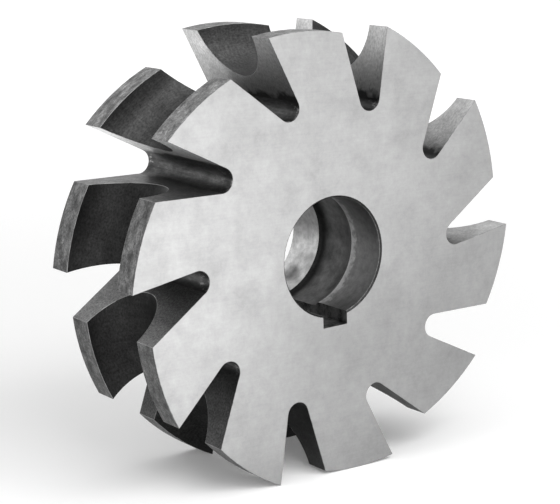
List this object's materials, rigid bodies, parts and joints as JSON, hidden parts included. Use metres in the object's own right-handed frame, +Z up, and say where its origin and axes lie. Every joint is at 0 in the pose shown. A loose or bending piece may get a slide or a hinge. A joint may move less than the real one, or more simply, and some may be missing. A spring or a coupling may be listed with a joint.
{
  "type": "concave milling cutter",
  "caption": "Disc cutter with form-relieved teeth, a half-round groove round the rim, and a ground bore with a keyway.",
  "frame": {"origin": "centre of the bore, halfway between the two ground faces", "axes": "+Y along the spin axis from the front face to the rear face, +Z up with the cutter standing on the land of one tooth and the cutting edge of the next, X across; seen from the front the cutting edges lead anticlockwise"},
  "size_m": [0.125, 0.04, 0.12],
  "materials": {
    "ground_steel": "hardened tool steel, faces ground bright, form and gullets darker"
  },
  "bodies": {
    "root": {"milling_cutter": "ground_steel"}
  },
  "joints": []
}
